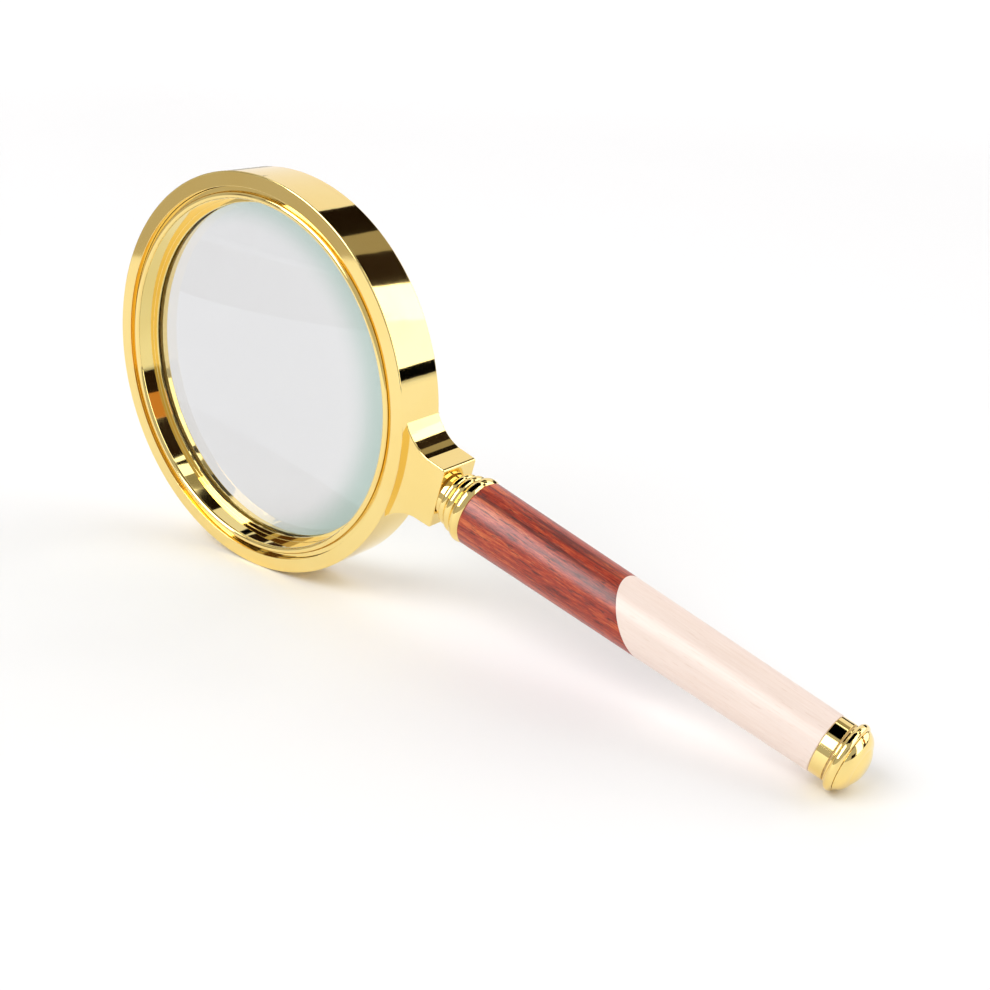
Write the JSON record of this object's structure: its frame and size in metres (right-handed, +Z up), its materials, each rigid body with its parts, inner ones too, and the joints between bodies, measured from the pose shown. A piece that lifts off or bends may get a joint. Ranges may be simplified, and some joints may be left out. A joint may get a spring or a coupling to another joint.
{
  "type": "magnifying glass",
  "caption": "Hand magnifying glass: round gilt rim with a screwed-in convex lens, flared neck, beaded ferrule, two-wood tapered handle and domed end cap.",
  "frame": {"origin": "bottom centre of the bounding box, on the surface that the glass stands on", "axes": "+X along the glass from rim to end cap, level; +Y through the lens from its front, where the retaining ring is, to its back; +Z up. The glass stands on the edge of its rim and on the flange of its end cap, so the handle slopes down towards +X"},
  "size_m": [0.2151, 0.0164, 0.1],
  "materials": {
    "gold_plate": "mirror-polished gold plate over brass",
    "bare_brass": "turned, unplated",
    "lens_glass": "polished optical glass",
    "gasket_rubber": "matt",
    "fibre_washer": "dull vulcanised fibre",
    "steel_rod": "turned, with cut threads",
    "rosewood": "satin varnish",
    "maple": "satin varnish"
  },
  "bodies": {
    "frame": {"lens_rim": "gold_plate", "neck_bracket": "gold_plate", "neck_bush": "bare_brass", "rear_gasket": "gasket_rubber", "lens": "lens_glass"},
    "lens_washer": {"slip_washer": "fibre_washer"},
    "ring": {"retaining_ring": "gold_plate"},
    "handle_washer": {"neck_washer": "fibre_washer"},
    "handle": {"tie_rod": "steel_rod", "ferrule": "gold_plate", "front_insert": "bare_brass", "rear_insert": "bare_brass", "handle_front": "rosewood", "handle_rear": "maple", "rear_collar": "gold_plate"},
    "end_washer": {"cap_washer": "fibre_washer"},
    "cap": {"end_cap": "gold_plate"}
  },
  "joints": [
    {"name": "ring_travel", "type": "slide", "parent": "frame", "child": "lens_washer", "axis": [0, -1, 0], "range_m": [0, 0.006]},
    {"name": "ring_screw", "type": "hinge", "parent": "lens_washer", "child": "ring", "pos_m": [-0.05744, 0, 0.05], "axis": [0, -1, 0], "range_deg": [0, 2160.1]},
    {"name": "handle_travel", "type": "slide", "parent": "frame", "child": "handle_washer", "axis": [0.9664, 0, -0.2569], "range_m": [0, 0.0088]},
    {"name": "handle_screw", "type": "hinge", "parent": "handle_washer", "child": "handle", "pos_m": [0.0021, 0, 0.03417], "axis": [0.9664, 0, -0.2569], "range_deg": [0, 3960.1]},
    {"name": "cap_travel", "type": "slide", "parent": "handle", "child": "end_washer", "axis": [0.9664, 0, -0.2569], "range_m": [0, 0.0036]},
    {"name": "cap_screw", "type": "hinge", "parent": "end_washer", "child": "cap", "pos_m": [0.10338, 0, 0.00725], "axis": [0.9664, 0, -0.2569], "range_deg": [0, 1620.1]}
  ],
  "couplings": [
    {"joint": "ring_screw", "follows": "ring_travel", "rad_per_m": 6283.2},
    {"joint": "handle_screw", "follows": "handle_travel", "rad_per_m": 7854},
    {"joint": "cap_screw", "follows": "cap_travel", "rad_per_m": 7854}
  ]
}
